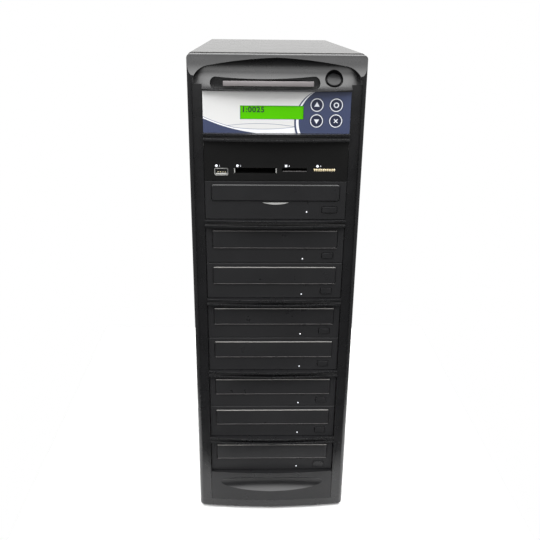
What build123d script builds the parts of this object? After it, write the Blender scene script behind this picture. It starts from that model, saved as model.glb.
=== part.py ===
from build123d import *
import os

os.makedirs("parts", exist_ok=True)

# A disc duplicator tower: a steel case with a moulded front, eight optical drives,
# a control panel and a card panel. Millimetres, +Z up, the front faces -Y, and the
# origin lies on the floor under the middle of the whole tower.

# --- Driving dimensions ------------------------------------------------------------

case_width = 178.0
case_depth = 388.0  # bay faces to the outer face of the rear panel
sheet = 1.0  # steel sheet
fit_gap = 0.3  # around pieces that fit into or past one another

foot_height = 4.0
foot_radius = 8.0
foot_inset = 30.0
sill_height = 9.6
cover_height = 41.0
bay_pitch = 41.6
bay_gap = 0.3
bar_height = 7.6
head_height = 35.0

bay_width = 148.0
window_play = 0.4  # each side of a bay face
bezel_depth = 20.0  # bay faces to the back of the moulded front
front_wall = 5.0  # bay faces to the back of the moulding's front wall
moulding_wall = 2.5

front_bulge = 8.0  # the moulding's middle in front of the bay faces
shoulder_proud = 2.5  # the same beside the outer corners
shoulder_inset = 4.5  # width of the outer band
corner_set = 3.5  # where the rounded corner starts behind the bay faces
corner_sagitta = 1.1
front_crown = 1.0
top_corner_radius = 4.0
head_lean = 3.0  # the top edge behind the bay faces
lean_start = 6.0
lean_sagitta = 2.0
head_edge = 1.0  # rounding along the top front edge
head_step = 0.9  # top of the case down to the top of the moulding

arch_rise = 31.1
arch_waist_x = 36.0
arch_waist_z = 28.4
arch_turn_x = 66.7
arch_turn_z = 23.8
arch_bend_x = 79.0
arch_bend_z = 18.0
arch_foot_z = 6.0
valley_top = 32.4
valley_top_set = 6.4
valley_deep = 22.4
valley_deep_set = 8.2
valley_mouth_set = -7.5
recess_at_head = 1.5
recess_end_z = 46.0

slot_left = -66.5
slot_right = 42.8
slot_end = 5.2
slot_low = 1.1
slot_low_end = 1.8
slot_high = 10.6
slot_high_left = 12.6
slot_high_right = 13.4
slot_floor_set = 9.0
slot_bar_left = -53.7
slot_bar_right = 36.6
slot_bar_low = 4.2
slot_bar_high = 9.6
slot_bar_set = 2.4
head_wall = 15.0  # bay faces to the back of the head's front wall

groove_height = 3.4
groove_set = 1.0  # groove floor in front of the bay faces

power_inset = 32.4  # button centre to the case's outer side
power_along = 0.57  # share of the valley curve from its top edge
power_rise = 40.0  # the seat faces up by this angle, degrees
power_well_radius = 9.0
power_well_depth = 4.6
power_radius = 7.5
power_cap = 3.4
power_dome = 1.4
power_proud = 0.6
power_stem_radius = 2.8
power_stem_play = 0.2
power_bore = 9.6
power_travel = 1.6

scoop_high = 34.8
scoop_deep_z = 27.5
scoop_low = 13.8
scoop_depth = 6.5
scoop_turn = 620.0  # the hollow is turned about an upright line this far in front
scoop_lip = 0.3
scoop_sweep = 30.0  # degrees turned, wider than the cover

panel_thick = 3.0
overlay_thick = 0.4
display_left = -36.8
display_right = 26.9
display_low = 13.8
display_high = 27.3
display_sink = 1.0
display_margin = 6.0
display_back = 10.0
key_columns = (40.0, 59.4)
key_rows = (12.6, 28.2)
key_radius = 6.8
key_cap = 1.4
key_stem_radius = 3.0
key_stem_play = 0.2
key_travel = 0.8

board_thick = 1.6
board_half = 64.0
board_margin = 3.0

usb_left = -63.7
usb_right = -49.3
usb_low = 5.6
usb_high = 13.5
compact_left = -43.7
compact_right = 1.1
compact_low = 7.6
compact_high = 13.6
secure_left = 6.1
secure_right = 31.9
secure_low = 9.8
secure_high = 13.5
stick_left = 38.5
stick_right = 61.7
stick_low = 10.2
stick_high = 13.5
socket_wall = 1.2
socket_depth = 34.0
reader_board_top = 4.2
port_light_x = (-61.4, -39.8, 10.3, 42.7)
port_light_z = 15.8
port_light_radius = 0.8
port_light_sink = 0.4

bezel_edge = 0.6
drive_width = 146.0
drive_height = 40.8
drive_depth = 168.0
drive_wall = 1.0
tray_face_half = 67.0
tray_face_thick = 3.0
tray_proud = 1.0
tray_face_bevel = 0.9
tray_play = 0.4
tray_corner = 2.5
tray_half = 65.0
tray_length = 160.0
tray_thick = 8.0
tray_lift = 3.0  # tray underside above the lower edge of its face
disc_radius = 61.5
disc_centre = 72.0  # behind the bay faces
disc_sink = 4.8
small_disc_radius = 40.5
small_disc_sink = 1.4
spindle_half = 15.0
spindle_front = 17.0
spindle_back = 68.0
rail_inner = 60.0
rail_thick = 2.0
rail_front = 8.0
rail_length = 150.0
eject_play = 0.5
eject_proud = 0.8
eject_flange = 1.0
eject_rim = 1.0
eject_round = 1.4
eject_high = 6.0
light_radius = 1.2
light_sink = 0.8
pin_hole_radius = 0.7
pin_hole_x = 34.0
pin_hole_drop = 1.9

# Tray face height, its top margin, eject button centre and width, busy light place.
source_look = (17.6, 3.6, 57.0, 10.9, 15.6, 33.0, 8.6)
target_look = (19.8, 4.4, 57.0, 8.6, 11.8, 30.0, 5.1)
crescent_half = 14.8
crescent_sagitta = 2.6
crescent_drop = 1.5
crescent_sink = 2.0

cage_depth = 150.0
cage_slot = 5.0
cage_slot_high = 4.0
cage_slot_places = (32.0, 112.0)
pan_flange = 16.0

rear_flange = 13.0
screw_head = 7.0
screw_head_radius = 5.5
screw_radius = 1.65
screw_hole_radius = 1.75
screw_length = 6.0
screw_slot = 1.2
screw_drop = 30.0

supply_width = 150.0
supply_height = 86.0
supply_depth = 140.0
supply_drop = 2.0
supply_frame = 4.0  # rim of the rear panel around the supply's rear face
supply_fan_margin = 3.0  # fan frame to the supply's top and bottom
supply_fan_inset = 7.0  # fan frame to the supply's side
socket_inset = 31.0  # inlet and rocker centres to the supply's other side
inlet_width = 27.0
inlet_height = 20.0
inlet_cavity = 14.0
inlet_flange = 3.0
inlet_flange_thick = 1.6
inlet_wall = 1.6
inlet_lift = 18.0
pin_length = 7.0
pin_width = 2.0
pin_height = 4.0
rocker_radius = 7.0
rocker_length = 18.0
rocker_drop = 17.0
rocker_hollow = 4.2
rocker_rise = 1.6
rocker_tilt = 8.0  # pressed in at the top, degrees

fan_size = 80.0
fan_thick = 25.0
fan_rim = 2.0  # thinnest part of a frame round its bore
fan_gap = 0.8
fan_hub = 17.0
fan_motor = 3.0
fan_pin = 1.5
fan_pin_play = 0.05
fan_blades = 7
fan_blade_thick = 1.6
fan_blade_chord = 15.0
fan_blade_pitch = 35.0
fan_strut = 4.0
fan_hole_inset = 4.25
fan_hole_radius = 2.2
fan_rotor_sink = 1.0
upper_fan_z = 395.0
lower_fan_z = 300.0
guard_wire = 0.8
guard_rings = (0.37, 0.6, 0.84)  # ring radii as shares of the bore

# --- Levels and faces that follow --------------------------------------------------

rear_proud = sheet + screw_head
face_y = front_bulge - (front_bulge + case_depth + rear_proud) / 2
rear_y = face_y + case_depth
half_width = case_width / 2
shoulder_x = half_width - shoulder_inset
window_half = bay_width / 2 + window_play

sill_top = foot_height + sill_height
bay_groups = (
    ("drive_8",),
    ("drive_7", "drive_6"),
    ("drive_5", "drive_4"),
    ("drive_3", "drive_2"),
    ("drive_1", "cards"),
    ("display",),
)
drives = [bay for group in bay_groups for bay in group if bay.startswith("drive")]
bay_bottom = {}
windows = []
level = sill_top + cover_height
for group in bay_groups:
    group_bottom = level
    for bay in group:
        bay_bottom[bay] = level
        level += bay_pitch
    windows.append((group_bottom, level))
    level += bar_height
head_bottom = windows[-1][1]
case_top = head_bottom + head_height
head_top = case_top - head_step
bezel_back = face_y + bezel_depth
wall_back = face_y + front_wall
edge_mid = 1 - 0.5**0.5  # a quarter round's middle, as a share of its radius


def front_plane(y):
    """The plane at depth y that faces the viewer, drawn in X and Z."""
    return Plane.XZ.offset(-y)


def block(x_range, y_range, z_range, mode=Mode.ADD):
    """Add or cut a box between two limits on each axis, in the open part."""
    limits = (x_range, y_range, z_range)
    with Locations(tuple((low + high) / 2 for low, high in limits)):
        Box(*[high - low for low, high in limits], mode=mode)


# --- Moulded front -----------------------------------------------------------------

# The scoop under the arch: its outline seen from the front, hollowed along an arc.
with BuildPart() as valley:
    with BuildSketch(Plane.XZ):
        with BuildLine():
            ThreePointArc(
                (0, head_bottom + arch_rise),
                (arch_waist_x, head_bottom + arch_waist_z),
                (arch_turn_x, head_bottom + arch_turn_z),
            )
            ThreePointArc(
                (arch_turn_x, head_bottom + arch_turn_z),
                (arch_bend_x, head_bottom + arch_bend_z),
                (shoulder_x, head_bottom + arch_foot_z),
            )
            Polyline(
                (shoulder_x, head_bottom + arch_foot_z),
                (shoulder_x, head_bottom),
                (0, head_bottom),
            )
            mirror(about=Plane.YZ)
        make_face()
    extrude(amount=case_depth, both=True)
    with BuildSketch(Plane.YZ):
        with BuildLine():
            valley_arc = ThreePointArc(
                (face_y + valley_top_set, head_bottom + valley_top),
                (face_y + valley_deep_set, head_bottom + valley_deep),
                (face_y + valley_mouth_set, head_bottom),
            )
            Polyline(
                (face_y + valley_mouth_set, head_bottom),
                (face_y - 2 * bezel_depth, head_bottom),
                (face_y - 2 * bezel_depth, head_bottom + valley_top),
                (face_y + valley_top_set, head_bottom + valley_top),
            )
        make_face()
    extrude(amount=case_width, both=True, mode=Mode.INTERSECT)

# The power button's seat lies on the valley curve and faces up and out.
seat_point = valley_arc @ power_along
power_plane = Plane(
    origin=(half_width - power_inset, seat_point.X, seat_point.Y),
    x_dir=(1, 0, 0),
    z_dir=Vector(0, -1, 0).rotate(Axis.X, -power_rise),
)

with BuildPart() as front_bezel:
    with BuildSketch(Plane.XY.offset(foot_height)):
        with BuildLine():
            SagittaArc(
                (0, face_y - front_bulge), (shoulder_x, face_y - shoulder_proud), -front_crown
            )
            SagittaArc(
                (shoulder_x, face_y - shoulder_proud),
                (half_width, face_y + corner_set),
                -corner_sagitta,
            )
            Polyline(
                (half_width, face_y + corner_set), (half_width, bezel_back), (0, bezel_back)
            )
            mirror(about=Plane.YZ)
        make_face()
    extrude(amount=head_top - foot_height)
    fillet(
        front_bezel.edges().filter_by(Axis.Y).group_by(Axis.Z)[-1], radius=top_corner_radius
    )
    # The head leans back above the control panel.
    with BuildSketch(Plane.YZ):
        with BuildLine():
            SagittaArc(
                (face_y - front_bulge, head_bottom + lean_start),
                (face_y + head_lean, head_top - head_edge),
                -lean_sagitta,
            )
            ThreePointArc(
                (face_y + head_lean, head_top - head_edge),
                (face_y + head_lean + head_edge * edge_mid, head_top - head_edge * edge_mid),
                (face_y + head_lean + head_edge, head_top),
            )
            Polyline(
                (face_y + head_lean + head_edge, head_top),
                (face_y + head_lean + head_edge, case_top + head_height),
                (face_y - bezel_depth, case_top + head_height),
                (face_y - bezel_depth, head_bottom + lean_start),
                (face_y - front_bulge, head_bottom + lean_start),
            )
        make_face()
    extrude(amount=case_width, both=True, mode=Mode.SUBTRACT)
    add(valley.part, mode=Mode.SUBTRACT)
    # The pillars are set back inside their outer bands, less and less towards the floor.
    with BuildSketch(Plane.YZ):
        Polygon(
            (face_y + recess_at_head, head_bottom + arch_foot_z),
            (face_y - shoulder_proud - front_crown, recess_end_z),
            (face_y - 2 * bezel_depth, recess_end_z),
            (face_y - 2 * bezel_depth, head_bottom + arch_foot_z),
            align=None,
        )
    pillar_faces = extrude(amount=shoulder_x, both=True, mode=Mode.PRIVATE)
    pillar_mask = Box(
        2 * window_half, 6 * bezel_depth, 4 * case_top, mode=Mode.PRIVATE
    ).moved(Location((0, face_y, 0)))
    add(pillar_faces - pillar_mask, mode=Mode.SUBTRACT)
    # Bay windows, and the hollow back of the moulding.
    for low, high in [(sill_top, sill_top + cover_height)] + windows:
        with BuildSketch(front_plane(bezel_back)):
            with Locations((0, (low + high) / 2)):
                Rectangle(2 * window_half, high - low)
        extrude(amount=3 * bezel_depth, mode=Mode.SUBTRACT)
    with BuildSketch(front_plane(bezel_back)):
        with Locations((0, (foot_height + moulding_wall + head_bottom) / 2)):
            Rectangle(
                case_width - 2 * moulding_wall, head_bottom - foot_height - moulding_wall
            )
    extrude(amount=bezel_depth - front_wall, mode=Mode.SUBTRACT)
    with BuildSketch(front_plane(bezel_back)):
        with Locations((0, (head_bottom + head_top - moulding_wall) / 2)):
            Rectangle(case_width - 2 * moulding_wall, head_height - head_step - moulding_wall)
    extrude(amount=bezel_depth - head_wall, mode=Mode.SUBTRACT)
    # A dark groove runs along the middle of each bar.
    for low, high in windows[:-1]:
        with BuildSketch(front_plane(face_y - groove_set)):
            with Locations((0, high + bar_height / 2)):
                Rectangle(2 * window_half, groove_height)
        extrude(amount=2 * bezel_depth, mode=Mode.SUBTRACT)
    # The finger slot in the head, with the raised ledge inside it.
    with BuildSketch(front_plane(face_y + slot_floor_set)):
        with BuildLine():
            ThreePointArc(
                (slot_left + slot_end, head_bottom + slot_low_end),
                ((slot_left + slot_right) / 2, head_bottom + slot_low),
                (slot_right - slot_end, head_bottom + slot_low_end),
            )
            ThreePointArc(
                (slot_right - slot_end, head_bottom + slot_low_end),
                (slot_right, head_bottom + (slot_low_end + slot_high_right) / 2),
                (slot_right - slot_end, head_bottom + slot_high_right),
            )
            ThreePointArc(
                (slot_right - slot_end, head_bottom + slot_high_right),
                ((slot_left + slot_right) / 2, head_bottom + slot_high),
                (slot_left + slot_end, head_bottom + slot_high_left),
            )
            ThreePointArc(
                (slot_left + slot_end, head_bottom + slot_high_left),
                (slot_left, head_bottom + (slot_low_end + slot_high_left) / 2),
                (slot_left + slot_end, head_bottom + slot_low_end),
            )
        make_face()
    extrude(amount=2 * bezel_depth, mode=Mode.SUBTRACT)
    with BuildSketch(Plane.YZ.offset(slot_bar_left)):
        Polygon(
            (face_y + slot_floor_set, head_bottom + slot_bar_low),
            (face_y + slot_bar_set, head_bottom + slot_bar_low),
            (face_y + slot_bar_set, head_bottom + (slot_bar_low + slot_bar_high) / 2),
            (face_y + slot_floor_set, head_bottom + slot_bar_high),
            align=None,
        )
    extrude(amount=slot_bar_right - slot_bar_left)
    # The power button's well and the bore for its stem.
    with BuildSketch(power_plane.offset(-power_well_depth)):
        Circle(power_well_radius)
    extrude(amount=power_well_depth + bezel_depth, mode=Mode.SUBTRACT)
    with BuildSketch(power_plane.offset(-power_well_depth)):
        Circle(power_stem_radius + power_stem_play)
    extrude(amount=-(power_bore - power_well_depth), mode=Mode.SUBTRACT)
front_bezel.part.label = "front_bezel"
export_step(front_bezel.part, "parts/front_bezel.step")

with BuildPart() as power_button:
    with BuildSketch(power_plane.offset(power_proud - power_cap)):
        Circle(power_radius)
    extrude(amount=power_cap)
    fillet(
        power_button.faces().sort_by(Axis(power_plane.origin, power_plane.z_dir))[-1].edges(),
        radius=power_dome,
    )
    with BuildSketch(power_plane.offset(power_proud - power_cap)):
        Circle(power_stem_radius)
    extrude(amount=power_cap - power_proud - power_bore + power_travel + power_stem_play)
power_button.part.label = "power_button"
export_step(power_button.part, "parts/power_button.step")

# The cover below the lowest drive: it follows the bars' bulge and holds a finger scoop.
cover_half = bay_width / 2
with BuildPart() as lower_cover:
    with BuildSketch(Plane.XY.offset(sill_top + fit_gap)):
        with BuildLine():
            SagittaArc(
                (0, face_y - front_bulge), (shoulder_x, face_y - shoulder_proud), -front_crown
            )
            Polyline(
                (shoulder_x, face_y - shoulder_proud), (shoulder_x, wall_back), (0, wall_back)
            )
            mirror(about=Plane.YZ)
        make_face()
    extrude(amount=cover_height - 2 * fit_gap)
    block(
        (-cover_half, cover_half),
        (face_y - bezel_depth, bezel_back),
        (foot_height, head_bottom),
        mode=Mode.INTERSECT,
    )
    # The scoop is hollowed along an arc below and a tighter one above, and runs out
    # towards its ends.
    turn_y = face_y - front_bulge + scoop_depth - scoop_turn
    scoop_mouth = scoop_turn - scoop_depth - scoop_lip
    scoop_plane = Plane(
        origin=(0, turn_y, sill_top),
        x_dir=Vector(0, 1, 0).rotate(Axis.Z, -scoop_sweep / 2),
        z_dir=Vector(1, 0, 0).rotate(Axis.Z, -scoop_sweep / 2),
    )
    with BuildSketch(scoop_plane):
        with BuildLine():
            TangentArc((scoop_turn, scoop_deep_z), (scoop_mouth, scoop_low), tangent=(0, -1))
            TangentArc((scoop_turn, scoop_deep_z), (scoop_mouth, scoop_high), tangent=(0, 1))
            Polyline(
                (scoop_mouth, scoop_high), (0, scoop_high), (0, scoop_low), (scoop_mouth, scoop_low)
            )
        make_face()
    revolve(
        axis=Axis((0, turn_y, 0), (0, 0, 1)),
        revolution_arc=scoop_sweep,
        mode=Mode.SUBTRACT,
    )
lower_cover.part.label = "lower_cover"
export_step(lower_cover.part, "parts/lower_cover.step")

# --- Control panel -----------------------------------------------------------------

panel_half = bay_width / 2
panel_front = face_y + overlay_thick
panel_back = panel_front + panel_thick
display_floor = bay_bottom["display"]
display_span = (display_floor + bay_gap / 2, display_floor + bay_pitch - bay_gap / 2)
screen_x = (display_left, display_right)
screen_z = (display_floor + display_low, display_floor + display_high)
key_places = {
    "key_down": (key_columns[0], display_floor + key_rows[0]),
    "key_up": (key_columns[0], display_floor + key_rows[1]),
    "key_escape": (key_columns[1], display_floor + key_rows[0]),
    "key_enter": (key_columns[1], display_floor + key_rows[1]),
}

with BuildPart() as panel_overlay:
    block((-panel_half, panel_half), (face_y, panel_front), display_span)
    block(screen_x, (face_y, panel_front), screen_z, mode=Mode.SUBTRACT)
    with BuildSketch(front_plane(face_y)):
        with Locations(*key_places.values()):
            Circle(key_radius + fit_gap)
    extrude(amount=-overlay_thick, mode=Mode.SUBTRACT)
panel_overlay.part.label = "panel_overlay"
export_step(panel_overlay.part, "parts/panel_overlay.step")

with BuildPart() as control_panel:
    block((-panel_half, panel_half), (panel_front, panel_back), display_span)
    block(screen_x, (panel_front, panel_back), screen_z, mode=Mode.SUBTRACT)
    with BuildSketch(front_plane(panel_front)):
        with Locations(*key_places.values()):
            Circle(key_radius + fit_gap)
    extrude(amount=-(key_cap + key_travel), mode=Mode.SUBTRACT)
    with BuildSketch(front_plane(panel_front)):
        with Locations(*key_places.values()):
            Circle(key_stem_radius + key_stem_play)
    extrude(amount=-panel_thick, mode=Mode.SUBTRACT)
control_panel.part.label = "control_panel"
export_step(control_panel.part, "parts/control_panel.step")

# The display's window block fills the opening, and its frame lies behind the panel.
module_back = face_y + display_back
with BuildPart() as display_module:
    block(
        (display_left - display_margin, display_right + display_margin / 2),
        (panel_back, module_back),
        (screen_z[0] - display_margin, screen_z[1] + display_margin),
    )
    block(
        (display_left + fit_gap, display_right - fit_gap),
        (face_y + display_sink, panel_back),
        (screen_z[0] + fit_gap, screen_z[1] - fit_gap),
    )
display_module.part.label = "display_module"
export_step(display_module.part, "parts/display_module.step")

for name, place in key_places.items():
    with BuildPart() as key:
        with BuildSketch(front_plane(face_y)):
            with Locations(place):
                Circle(key_radius)
        extrude(amount=-(key_cap + overlay_thick))
        with BuildSketch(front_plane(face_y)):
            with Locations(place):
                Circle(key_stem_radius)
        extrude(amount=-(display_back - key_travel - fit_gap))
    key.part.label = name
    export_step(key.part, f"parts/{name}.step")

# --- Card panel --------------------------------------------------------------------

cards_floor = bay_bottom["cards"]
card_front = face_y
card_back = card_front + panel_thick
ports = {
    "usb": ((usb_left, usb_right), (cards_floor + usb_low, cards_floor + usb_high)),
    "compact": (
        (compact_left, compact_right),
        (cards_floor + compact_low, cards_floor + compact_high),
    ),
    "secure": (
        (secure_left, secure_right),
        (cards_floor + secure_low, cards_floor + secure_high),
    ),
    "stick": ((stick_left, stick_right), (cards_floor + stick_low, cards_floor + stick_high)),
}

with BuildPart() as card_panel:
    block(
        (-panel_half, panel_half),
        (card_front, card_back),
        (cards_floor + bay_gap / 2, cards_floor + bay_pitch - bay_gap / 2),
    )
    for port_x, port_z in ports.values():
        block(port_x, (card_front, card_back), port_z, mode=Mode.SUBTRACT)
    with BuildSketch(front_plane(card_front)):
        with Locations(*[(x, cards_floor + port_light_z) for x in port_light_x]):
            Circle(port_light_radius)
    extrude(amount=-port_light_sink, mode=Mode.SUBTRACT)
card_panel.part.label = "card_panel"
export_step(card_panel.part, "parts/card_panel.step")

reader_top = cards_floor + reader_board_top
socket_y = (card_back, card_back + socket_depth)
with BuildPart() as card_sockets:
    for (x_low, x_high), (z_low, z_high) in ports.values():
        block((x_low - socket_wall, x_high + socket_wall), socket_y, (reader_top, z_high + socket_wall))
    for port_x, port_z in ports.values():
        block(port_x, (card_back, socket_y[1] - socket_wall), port_z, mode=Mode.SUBTRACT)
    # The contact tongue in the upper half of the first port.
    usb_middle = (ports["usb"][1][0] + ports["usb"][1][1]) / 2
    block(
        (usb_left + socket_wall, usb_right - socket_wall),
        (card_front + port_light_sink, socket_y[1] - socket_wall),
        (usb_middle, usb_middle + 2 * socket_wall),
    )
card_sockets.part.label = "card_sockets"
export_step(card_sockets.part, "parts/card_sockets.step")

with BuildPart() as circuit_boards:
    block(
        (-board_half, board_half),
        (module_back, module_back + board_thick),
        (display_span[0] + board_margin, display_span[1] - board_margin),
    )
    block(
        (-board_half - board_margin, board_half),
        (card_back, socket_y[1] + board_margin),
        (reader_top - board_thick, reader_top),
    )
circuit_boards.part.label = "circuit_boards"
export_step(circuit_boards.part, "parts/circuit_boards.step")

# --- Optical drives ----------------------------------------------------------------

for drive in drives:
    look = source_look if drive == "drive_1" else target_look
    face_height, top_margin, eject_x, eject_z, eject_width, light_x, light_z = look
    floor = bay_bottom[drive]
    face_top = floor + bay_pitch - bay_gap / 2 - top_margin
    face_low = face_top - face_height
    face_middle = (face_low + face_top) / 2
    tray_low = face_low + tray_lift
    tray_top = tray_low + tray_thick
    can_low = floor + (bay_pitch - drive_height) / 2
    can_y = (wall_back, wall_back + drive_depth)
    can_half = drive_width / 2
    eject_centre = (eject_x, floor + eject_z)

    with BuildPart() as bezel:
        block(
            (-panel_half, panel_half),
            (face_y, wall_back),
            (floor + bay_gap / 2, floor + bay_pitch - bay_gap / 2),
        )
        chamfer(bezel.faces().sort_by(Axis.Y)[0].edges(), length=bezel_edge)
        with BuildSketch(front_plane(face_y)):
            with Locations((0, face_middle)):
                RectangleRounded(
                    2 * (tray_face_half + tray_play),
                    face_height + 2 * tray_play,
                    tray_corner + tray_play,
                )
            with Locations(eject_centre):
                RectangleRounded(
                    eject_width + 2 * eject_play, eject_high + 2 * eject_play, eject_round
                )
            with Locations((pin_hole_x, face_low - pin_hole_drop)):
                Circle(pin_hole_radius)
        extrude(amount=-front_wall, mode=Mode.SUBTRACT)
        with BuildSketch(front_plane(face_y)):
            with Locations((light_x, floor + light_z)):
                Circle(light_radius)
        extrude(amount=-light_sink, mode=Mode.SUBTRACT)
        if drive == "drive_1":
            # A crescent finger notch under the tray of the source drive.
            with BuildSketch(front_plane(face_y)):
                with BuildLine():
                    ThreePointArc(
                        (-crescent_half, face_low - crescent_drop),
                        (0, face_low - crescent_drop - crescent_sagitta),
                        (crescent_half, face_low - crescent_drop),
                    )
                    Line(
                        (crescent_half, face_low - crescent_drop),
                        (-crescent_half, face_low - crescent_drop),
                    )
                make_face()
            extrude(amount=-crescent_sink, mode=Mode.SUBTRACT)
    bezel.part.label = f"{drive}_bezel"
    export_step(bezel.part, f"parts/{drive}_bezel.step")

    with BuildPart() as housing:
        block((-can_half, can_half), can_y, (can_low, can_low + drive_height))
        block(
            (drive_wall - can_half, can_half - drive_wall),
            (can_y[0], can_y[1] - drive_wall),
            (can_low + drive_wall, can_low + drive_height - drive_wall),
            mode=Mode.SUBTRACT,
        )
        for side in (-1, 1):
            rail_x = sorted((side * rail_inner, side * (can_half - drive_wall)))
            block(
                rail_x,
                (can_y[0] + rail_front, can_y[0] + rail_front + rail_length),
                (tray_low - fit_gap - rail_thick, tray_low - fit_gap),
            )
    housing.part.label = f"{drive}_housing"
    export_step(housing.part, f"parts/{drive}_housing.step")

    tray_y = face_y - tray_proud + tray_face_thick
    with BuildPart() as tray:
        block((-tray_half, tray_half), (tray_y, tray_y + tray_length), (tray_low, tray_top))
        with BuildSketch(Plane.XY.offset(tray_top)):
            with Locations((0, face_y + disc_centre)):
                Circle(disc_radius)
        extrude(amount=-disc_sink, mode=Mode.SUBTRACT)
        with BuildSketch(Plane.XY.offset(tray_top - disc_sink)):
            with Locations((0, face_y + disc_centre)):
                Circle(small_disc_radius)
        extrude(amount=-small_disc_sink, mode=Mode.SUBTRACT)
        block(
            (-spindle_half, spindle_half),
            (face_y + disc_centre - spindle_front, face_y + disc_centre + spindle_back),
            (tray_low, tray_top),
            mode=Mode.SUBTRACT,
        )
        with BuildSketch(front_plane(tray_y)):
            with Locations((0, face_middle)):
                RectangleRounded(2 * tray_face_half, face_height, tray_corner)
        face_plate = extrude(amount=tray_face_thick)
        chamfer(face_plate.faces().sort_by(Axis.Y)[0].edges(), length=tray_face_bevel)
    tray.part.label = f"{drive}_tray"
    export_step(tray.part, f"parts/{drive}_tray.step")

    with BuildPart() as button:
        with BuildSketch(front_plane(face_y - eject_proud)):
            with Locations(eject_centre):
                RectangleRounded(eject_width, eject_high, eject_round)
        extrude(amount=-(eject_proud + front_wall + fit_gap))
        with BuildSketch(front_plane(wall_back + fit_gap)):
            with Locations(eject_centre):
                Rectangle(eject_width + 2 * eject_rim, eject_high + 2 * eject_rim)
        extrude(amount=-eject_flange)
    button.part.label = f"{drive}_button"
    export_step(button.part, f"parts/{drive}_button.step")

# --- Steel chassis -----------------------------------------------------------------

plate_y = (bezel_back, bezel_back + sheet)
rear_inner = rear_y - sheet
chassis_half = half_width - sheet - fit_gap
chassis_top = case_top - sheet - fit_gap
pan_top = foot_height + sheet
inner_round = top_corner_radius - sheet
can_play_half = drive_width / 2 + fit_gap
bay_low = sill_top + cover_height
supply_top = chassis_top - supply_drop
supply_low = supply_top - supply_height
supply_middle = supply_low + supply_height / 2
case_fans = ((0, upper_fan_z), (0, lower_fan_z))
fan_bore = fan_size / 2 - fan_rim
fan_hole_pitch = fan_size - 2 * fan_hole_inset

with BuildPart() as base_pan:
    block((-chassis_half, chassis_half), (plate_y[1], rear_inner), (foot_height, pan_top))
    for side in (-1, 1):
        block(
            sorted((side * chassis_half, side * (chassis_half - sheet))),
            (plate_y[1], rear_inner),
            (foot_height, foot_height + pan_flange),
        )
base_pan.part.label = "base_pan"
export_step(base_pan.part, "parts/base_pan.step")

# Closed behind the lower cover and the head, open where the drives and panels pass.
with BuildPart() as front_plate:
    block((-chassis_half, chassis_half), plate_y, (foot_height, chassis_top))
    fillet(front_plate.edges().filter_by(Axis.Y).group_by(Axis.Z)[-1], radius=inner_round)
    block((-can_play_half, can_play_half), plate_y, (bay_low, head_bottom), mode=Mode.SUBTRACT)
front_plate.part.label = "front_plate"
export_step(front_plate.part, "parts/front_plate.step")

with BuildPart() as drive_cage:
    for side in (-1, 1):
        block(
            sorted((side * can_play_half, side * (can_play_half + sheet))),
            (plate_y[1], plate_y[1] + cage_depth),
            (pan_top, head_bottom),
        )
    # Two slots beside each drive take its side screws.
    with BuildSketch(Plane.YZ):
        for drive in drives:
            for place in cage_slot_places:
                with Locations((plate_y[1] + place, bay_bottom[drive] + bay_pitch / 4)):
                    SlotOverall(3 * cage_slot, cage_slot_high)
    extrude(amount=half_width, both=True, mode=Mode.SUBTRACT)
drive_cage.part.label = "drive_cage"
export_step(drive_cage.part, "parts/drive_cage.step")

screw_places = [
    (side * (half_width - rear_flange / 2), z)
    for side in (-1, 1)
    for z in (foot_height + screw_drop, case_top - screw_drop)
]
opening_half = supply_width / 2 - supply_frame
supply_hole = ((-opening_half, opening_half), (supply_low + supply_frame, supply_top - supply_frame))

with BuildPart() as rear_panel:
    block((-chassis_half, chassis_half), (rear_inner, rear_y), (foot_height, chassis_top))
    fillet(rear_panel.edges().filter_by(Axis.Y).group_by(Axis.Z)[-1], radius=inner_round)
    block(supply_hole[0], (rear_inner, rear_y), supply_hole[1], mode=Mode.SUBTRACT)
    with BuildSketch(front_plane(rear_y)):
        with Locations(*case_fans):
            Circle(fan_bore)
            with GridLocations(fan_hole_pitch, fan_hole_pitch, 2, 2):
                Circle(fan_hole_radius)
        with Locations(*screw_places):
            Circle(screw_hole_radius)
    extrude(amount=sheet, mode=Mode.SUBTRACT)
rear_panel.part.label = "rear_panel"
export_step(rear_panel.part, "parts/rear_panel.step")

# The U-shaped cover slides on from behind, and its rear flange takes the thumb screws.
with BuildPart() as case_cover:
    with BuildSketch(front_plane(rear_y + sheet)):
        with Locations((0, (foot_height + case_top) / 2)):
            Rectangle(case_width, case_top - foot_height)
    extrude(amount=case_depth + sheet - bezel_depth - fit_gap)
    fillet(case_cover.edges().filter_by(Axis.Y).group_by(Axis.Z)[-1], radius=top_corner_radius)
    with BuildSketch(front_plane(rear_y)):
        with Locations((0, (case_top - sheet) / 2)):
            Rectangle(case_width - 2 * sheet, case_top - sheet)
    hollow = extrude(amount=case_depth, mode=Mode.PRIVATE)
    inner_edges = hollow.edges().filter_by(Axis.Y).group_by(Axis.Z)[-1]
    add(hollow.fillet(inner_round, inner_edges), mode=Mode.SUBTRACT)
    block(
        (rear_flange - half_width, half_width - rear_flange),
        (rear_y, rear_y + sheet),
        (0, supply_hole[1][1]),
        mode=Mode.SUBTRACT,
    )
    with BuildSketch(front_plane(rear_y + sheet)):
        with Locations(*screw_places):
            Circle(screw_hole_radius)
    extrude(amount=sheet, mode=Mode.SUBTRACT)
case_cover.part.label = "case_cover"
export_step(case_cover.part, "parts/case_cover.step")

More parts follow.
